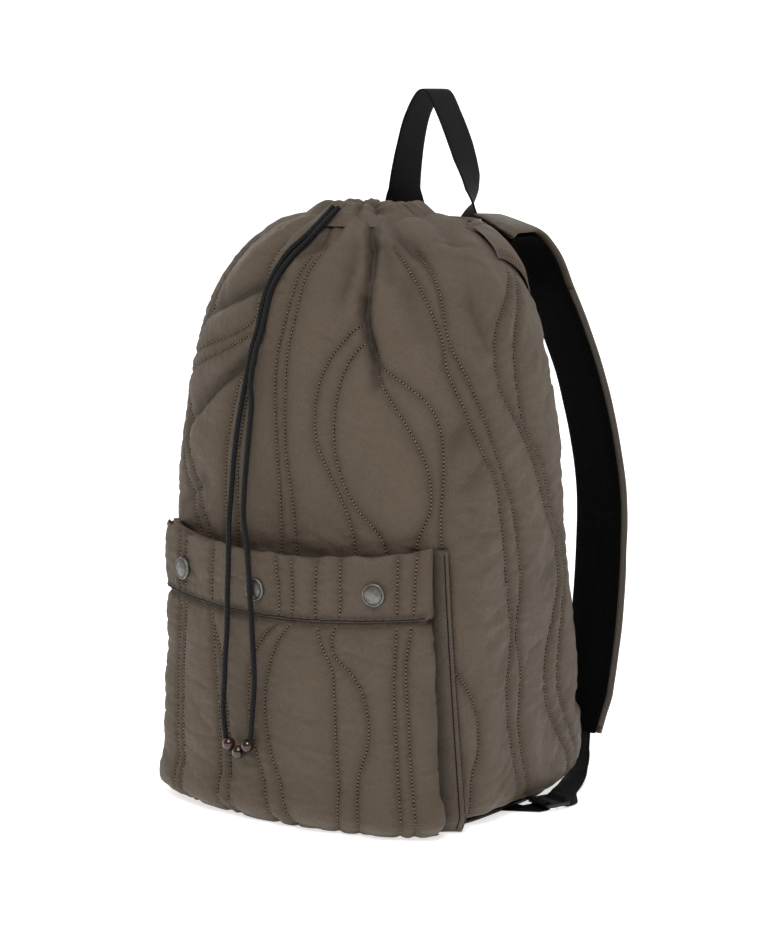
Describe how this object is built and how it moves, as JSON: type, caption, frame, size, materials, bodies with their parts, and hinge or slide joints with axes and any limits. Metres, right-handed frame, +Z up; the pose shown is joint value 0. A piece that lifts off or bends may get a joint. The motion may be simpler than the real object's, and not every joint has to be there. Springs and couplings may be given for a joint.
{
  "type": "quilted puffer backpack",
  "caption": "Padded, quilted cloth backpack with a gathered drawcord mouth, a snapped front pocket, a carry handle and two shoulder straps.",
  "frame": {"origin": "on the floor under the middle of the base", "axes": "+Z up from the base to the handle, -Y to the front pocket, +Y to the shoulder straps, +X to the right as the front is seen"},
  "size_m": [0.3004, 0.312, 0.5178],
  "materials": {
    "quilted_cloth": "matte, soft sheen, double-stitched quilting",
    "base_cloth": "matte coated cloth",
    "black_webbing": "matte woven webbing",
    "spacer_mesh": "matte knitted spacer mesh",
    "black_cord": "matte braided cord",
    "black_plastic": "satin",
    "snap_metal": "dull antique plating",
    "bead_plastic": "polished, slightly clear"
  },
  "bodies": {
    "root": {"bag_shell": "quilted_cloth", "base_panel": "base_cloth", "collar_channel": "quilted_cloth", "front_pocket": "quilted_cloth", "pocket_band": "quilted_cloth", "back_yoke": "quilted_cloth", "carry_handle": "black_webbing", "snap_left": "snap_metal", "snap_middle": "snap_metal", "snap_right": "snap_metal", "strap_cover_left": "quilted_cloth", "strap_cover_right": "quilted_cloth", "strap_mesh_left": "spacer_mesh", "strap_mesh_right": "spacer_mesh", "ladder_lock_left": "black_plastic", "ladder_lock_right": "black_plastic", "strap_webbing_left": "black_webbing", "strap_webbing_right": "black_webbing", "corner_tab_left": "black_webbing", "corner_tab_right": "black_webbing", "drawcord": "black_cord", "bead_left": "bead_plastic", "bead_middle": "bead_plastic", "bead_right": "bead_plastic"}
  },
  "joints": []
}
